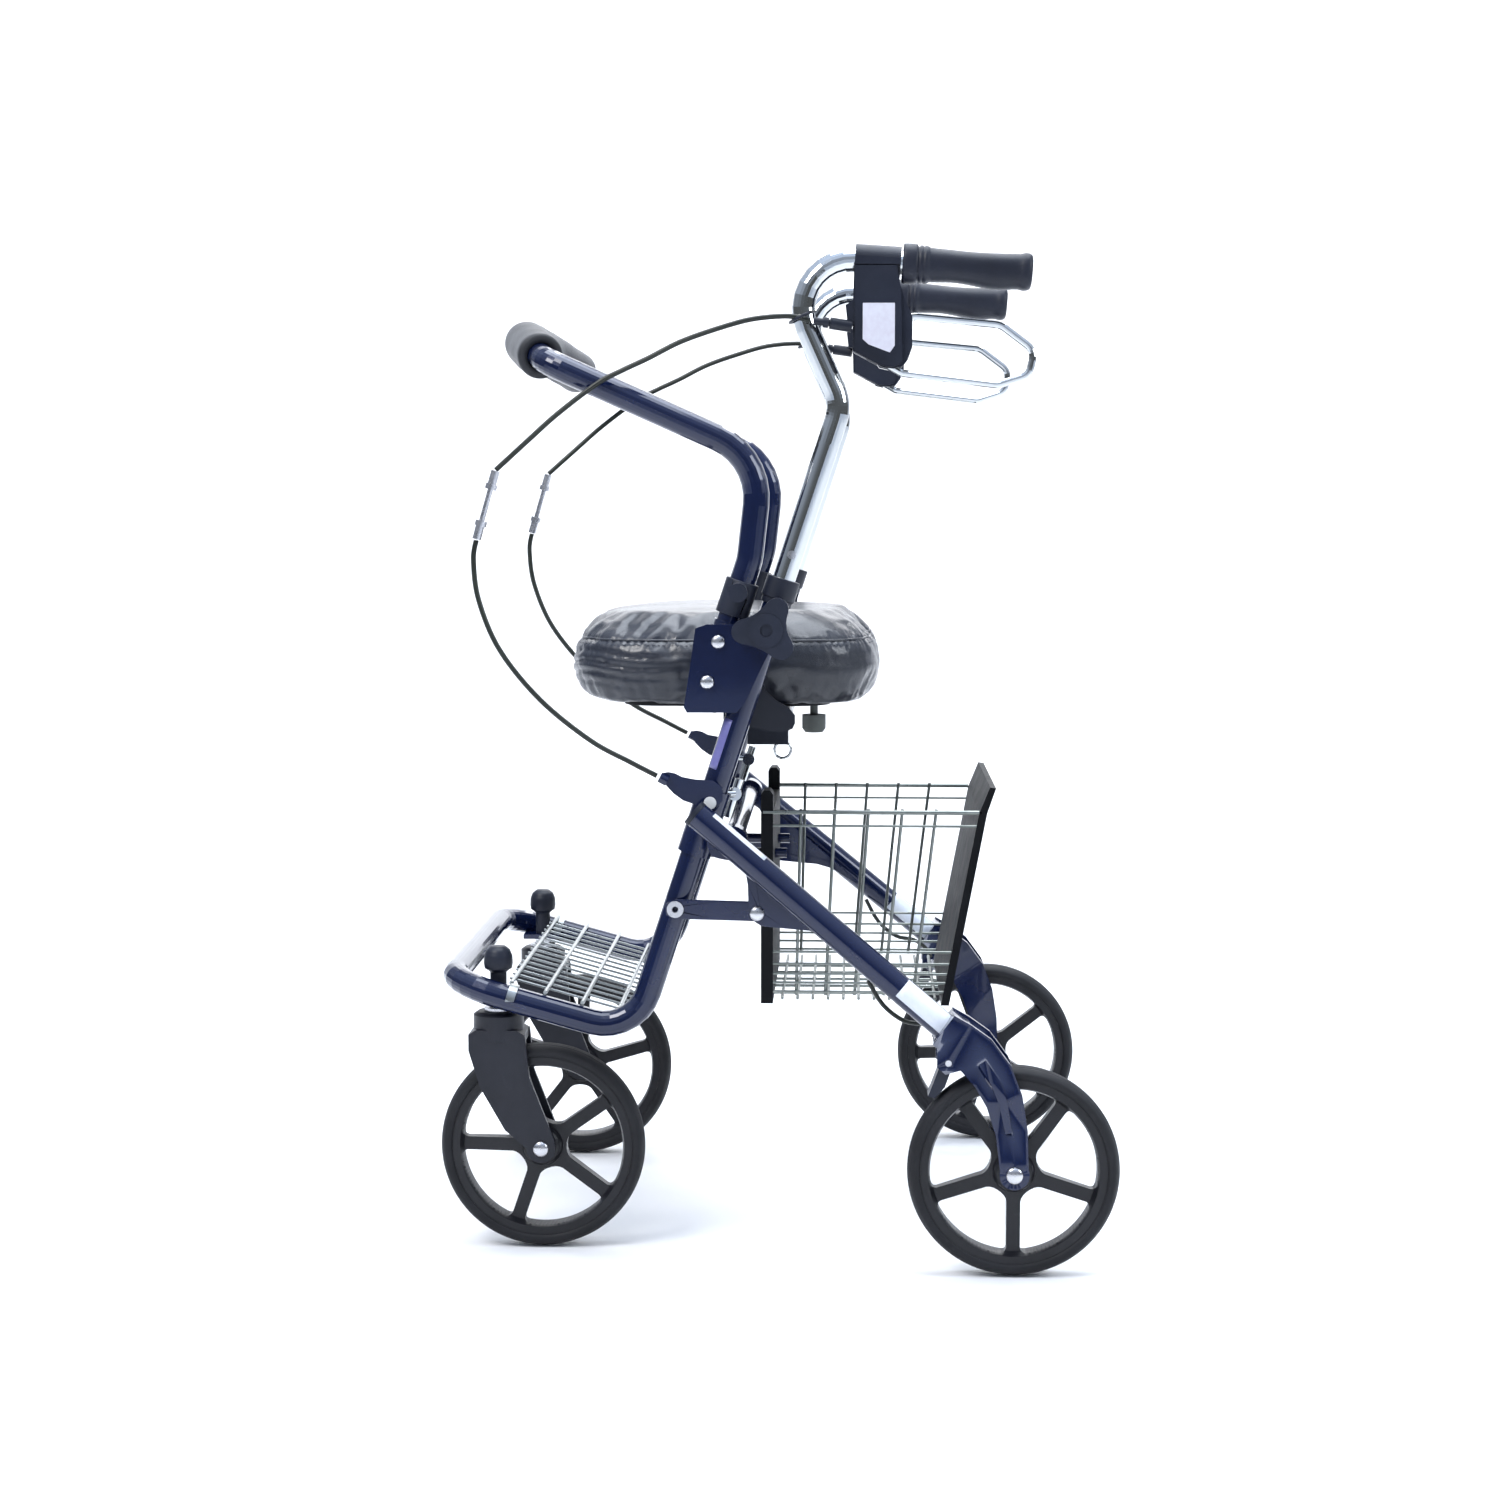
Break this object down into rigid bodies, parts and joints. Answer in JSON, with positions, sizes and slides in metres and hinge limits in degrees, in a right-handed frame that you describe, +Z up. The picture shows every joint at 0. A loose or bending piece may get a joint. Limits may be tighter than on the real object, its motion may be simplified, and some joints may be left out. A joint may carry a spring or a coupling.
{
  "type": "knee scooter",
  "caption": "Folding four-wheel walker with padded knee seat, curved backrest, loop hand brakes, front tray and rear wire basket",
  "frame": {"origin": "on the floor, under the middle of the outer box", "axes": "+X forward, +Y to the rider's left, +Z up"},
  "size_m": [0.6547, 0.6174, 0.9678],
  "materials": {
    "navy_paint": "gloss",
    "dark_paint": "satin",
    "black_plastic": "satin",
    "caster_plastic": "satin",
    "seat_board": "matte",
    "bolt_steel": "zinc plated",
    "chrome": "mirror",
    "basket_wire": "nickel plated",
    "cable_sheath": "satin",
    "white_button": "gloss",
    "black_vinyl": "semi gloss",
    "grey_plastic": "satin",
    "foam": "matte",
    "grip_rubber": "matte",
    "wheel_plastic": "satin",
    "tyre": "matte"
  },
  "bodies": {
    "frame": {"front_frame": "navy_paint", "upright_collars": "black_plastic", "backrest_sockets": "navy_paint", "frame_bolts": "bolt_steel", "seat_rails": "dark_paint", "tray_wires": "chrome", "caster_stems": "bolt_steel", "caster_caps": "black_plastic", "brake_cable_left": "cable_sheath", "brake_cable_right": "cable_sheath", "inline_adjusters": "bolt_steel", "lock_housing": "black_plastic"},
    "hub": {"hub_sleeves": "navy_paint", "guide_rods": "chrome"},
    "fold_button_left": {"fold_button_left": "white_button"},
    "fold_button_right": {"fold_button_right": "white_button"},
    "rear_frame": {"rear_legs": "navy_paint", "leg_gussets": "navy_paint", "rear_bolts": "bolt_steel", "rear_fork_left": "navy_paint", "rear_fork_right": "navy_paint", "leg_cables": "cable_sheath", "leg_plugs": "black_plastic"},
    "links": {"link_bars": "navy_paint"},
    "seat": {"seat_plate": "seat_board", "seat_cushion": "black_vinyl"},
    "seat_latch": {"seat_latch_knob": "grey_plastic"},
    "pull_ring": {"pull_ring": "chrome"},
    "backrest": {"backrest_bar": "navy_paint", "backrest_foam": "foam"},
    "backrest_knob_left": {"backrest_knob_left": "black_plastic"},
    "backrest_knob_right": {"backrest_knob_right": "black_plastic"},
    "basket": {"basket_wires": "basket_wire", "basket_panels": "black_plastic"},
    "height_knob_left": {"height_knob_left": "black_plastic"},
    "handlebar_left": {"handle_tube_left": "chrome", "grip_left": "grip_rubber", "brake_housing_left": "black_plastic"},
    "brake_lever_left": {"brake_lever_left": "chrome"},
    "snap_button_left": {"snap_button_left": "bolt_steel"},
    "brake_shoe_left": {"brake_shoe_left": "black_plastic"},
    "caster_left": {"caster_fork_left": "caster_plastic", "caster_axle_left": "bolt_steel"},
    "front_wheel_left": {"front_rim_left": "wheel_plastic", "front_tyre_left": "tyre"},
    "rear_wheel_left": {"rear_rim_left": "wheel_plastic", "rear_tyre_left": "tyre"},
    "height_knob_right": {"height_knob_right": "black_plastic"},
    "handlebar_right": {"handle_tube_right": "chrome", "grip_right": "grip_rubber", "brake_housing_right": "black_plastic"},
    "brake_lever_right": {"brake_lever_right": "chrome"},
    "snap_button_right": {"snap_button_right": "bolt_steel"},
    "brake_shoe_right": {"brake_shoe_right": "black_plastic"},
    "caster_right": {"caster_fork_right": "caster_plastic", "caster_axle_right": "bolt_steel"},
    "front_wheel_right": {"front_rim_right": "wheel_plastic", "front_tyre_right": "tyre"},
    "rear_wheel_right": {"rear_rim_right": "wheel_plastic", "rear_tyre_right": "tyre"}
  },
  "joints": [
    {"name": "hub_slide", "type": "slide", "parent": "frame", "child": "hub", "axis": [-0.311, 0, 0.9504], "range_m": [0, 0.0622]},
    {"name": "rear_fold", "type": "hinge", "parent": "hub", "child": "rear_frame", "pos_m": [0.04, 0, 0.404], "axis": [0, -1, 0], "range_deg": [0, 33.5]},
    {"name": "link_swing", "type": "hinge", "parent": "frame", "child": "links", "pos_m": [0.0945, 0, 0.3385], "axis": [0, 1, 0], "range_deg": [0, 45.7]},
    {"name": "seat_flip", "type": "hinge", "parent": "frame", "child": "seat", "pos_m": [0.0361, 0, 0.517], "axis": [0, 1, 0], "range_deg": [0, 60]},
    {"name": "seat_latch_pull", "type": "slide", "parent": "seat", "child": "seat_latch", "axis": [0, 0, -1], "range_m": [0, 0.006], "stiffness_N_per_m": 500},
    {"name": "ring_pull", "type": "slide", "parent": "frame", "child": "pull_ring", "axis": [0, 0, -1], "range_m": [0, 0.006], "stiffness_N_per_m": 300},
    {"name": "backrest_height", "type": "slide", "parent": "frame", "child": "backrest", "axis": [-0.311, 0, 0.9504], "range_m": [0, 0.05]},
    {"name": "basket_slide", "type": "slide", "parent": "frame", "child": "basket", "axis": [-1, 0, 0], "range_m": [0, 0.09]},
    {"name": "fold_button_left_press", "type": "slide", "parent": "hub", "child": "fold_button_left", "axis": [0, -1, 0], "range_m": [0, 0.002], "stiffness_N_per_m": 600},
    {"name": "backrest_knob_left_turn", "type": "hinge", "parent": "frame", "child": "backrest_knob_left", "pos_m": [0.03397, 0.214, 0.641], "axis": [0, 1, 0], "continuous": true},
    {"name": "height_knob_left_turn", "type": "hinge", "parent": "frame", "child": "height_knob_left", "pos_m": [0.00697, 0.214, 0.606], "axis": [0, 1, 0], "continuous": true},
    {"name": "handlebar_left_height", "type": "slide", "parent": "frame", "child": "handlebar_left", "axis": [-0.311, 0, 0.9504], "range_m": [-0.09, 0.03]},
    {"name": "brake_lever_left_squeeze", "type": "hinge", "parent": "handlebar_left", "child": "brake_lever_left", "pos_m": [-0.1, 0.214, 0.872], "axis": [0, 1, 0], "range_deg": [0, 12], "stiffness_Nm_per_rad": 1.5, "springref_deg": -14.32},
    {"name": "snap_button_left_press", "type": "slide", "parent": "handlebar_left", "child": "snap_button_left", "axis": [0, -1, 0], "range_m": [0, 0.002], "stiffness_N_per_m": 400},
    {"name": "brake_shoe_left_turn", "type": "hinge", "parent": "rear_frame", "child": "brake_shoe_left", "pos_m": [-0.1647, 0.28, 0.2055], "axis": [0, 1, 0], "range_deg": [0, 3.05]},
    {"name": "caster_left_swivel", "type": "hinge", "parent": "frame", "child": "caster_left", "pos_m": [0.27, 0.192, 0.2], "axis": [0, 0, 1], "continuous": true},
    {"name": "front_wheel_left_spin", "type": "hinge", "parent": "caster_left", "child": "front_wheel_left", "pos_m": [0.227, 0.192, 0.1], "axis": [0, 1, 0], "continuous": true},
    {"name": "rear_wheel_left_spin", "type": "hinge", "parent": "rear_frame", "child": "rear_wheel_left", "pos_m": [-0.227, 0.28, 0.1], "axis": [0, 1, 0], "continuous": true},
    {"name": "fold_button_right_press", "type": "slide", "parent": "hub", "child": "fold_button_right", "axis": [0, 1, 0], "range_m": [0, 0.002], "stiffness_N_per_m": 600},
    {"name": "backrest_knob_right_turn", "type": "hinge", "parent": "frame", "child": "backrest_knob_right", "pos_m": [0.03397, -0.214, 0.641], "axis": [0, -1, 0], "continuous": true},
    {"name": "height_knob_right_turn", "type": "hinge", "parent": "frame", "child": "height_knob_right", "pos_m": [0.00697, -0.214, 0.606], "axis": [0, -1, 0], "continuous": true},
    {"name": "handlebar_right_height", "type": "slide", "parent": "frame", "child": "handlebar_right", "axis": [-0.311, 0, 0.9504], "range_m": [-0.09, 0.03]},
    {"name": "brake_lever_right_squeeze", "type": "hinge", "parent": "handlebar_right", "child": "brake_lever_right", "pos_m": [-0.1, -0.214, 0.872], "axis": [0, 1, 0], "range_deg": [0, 12], "stiffness_Nm_per_rad": 1.5, "springref_deg": -14.32},
    {"name": "snap_button_right_press", "type": "slide", "parent": "handlebar_right", "child": "snap_button_right", "axis": [0, 1, 0], "range_m": [0, 0.002], "stiffness_N_per_m": 400},
    {"name": "brake_shoe_right_turn", "type": "hinge", "parent": "rear_frame", "child": "brake_shoe_right", "pos_m": [-0.1647, -0.28, 0.2055], "axis": [0, 1, 0], "range_deg": [0, 3.05]},
    {"name": "caster_right_swivel", "type": "hinge", "parent": "frame", "child": "caster_right", "pos_m": [0.27, -0.192, 0.2], "axis": [0, 0, 1], "continuous": true},
    {"name": "front_wheel_right_spin", "type": "hinge", "parent": "caster_right", "child": "front_wheel_right", "pos_m": [0.227, -0.192, 0.1], "axis": [0, 1, 0], "continuous": true},
    {"name": "rear_wheel_right_spin", "type": "hinge", "parent": "rear_frame", "child": "rear_wheel_right", "pos_m": [-0.227, -0.28, 0.1], "axis": [0, 1, 0], "continuous": true}
  ],
  "couplings": [
    {"joint": "hub_slide", "follows": "rear_fold", "m_per_rad": 0.10604},
    {"joint": "link_swing", "follows": "rear_fold", "ratio": 1.3612},
    {"joint": "brake_shoe_left_turn", "follows": "brake_lever_left_squeeze", "ratio": 0.25},
    {"joint": "brake_shoe_right_turn", "follows": "brake_lever_right_squeeze", "ratio": 0.25}
  ]
}
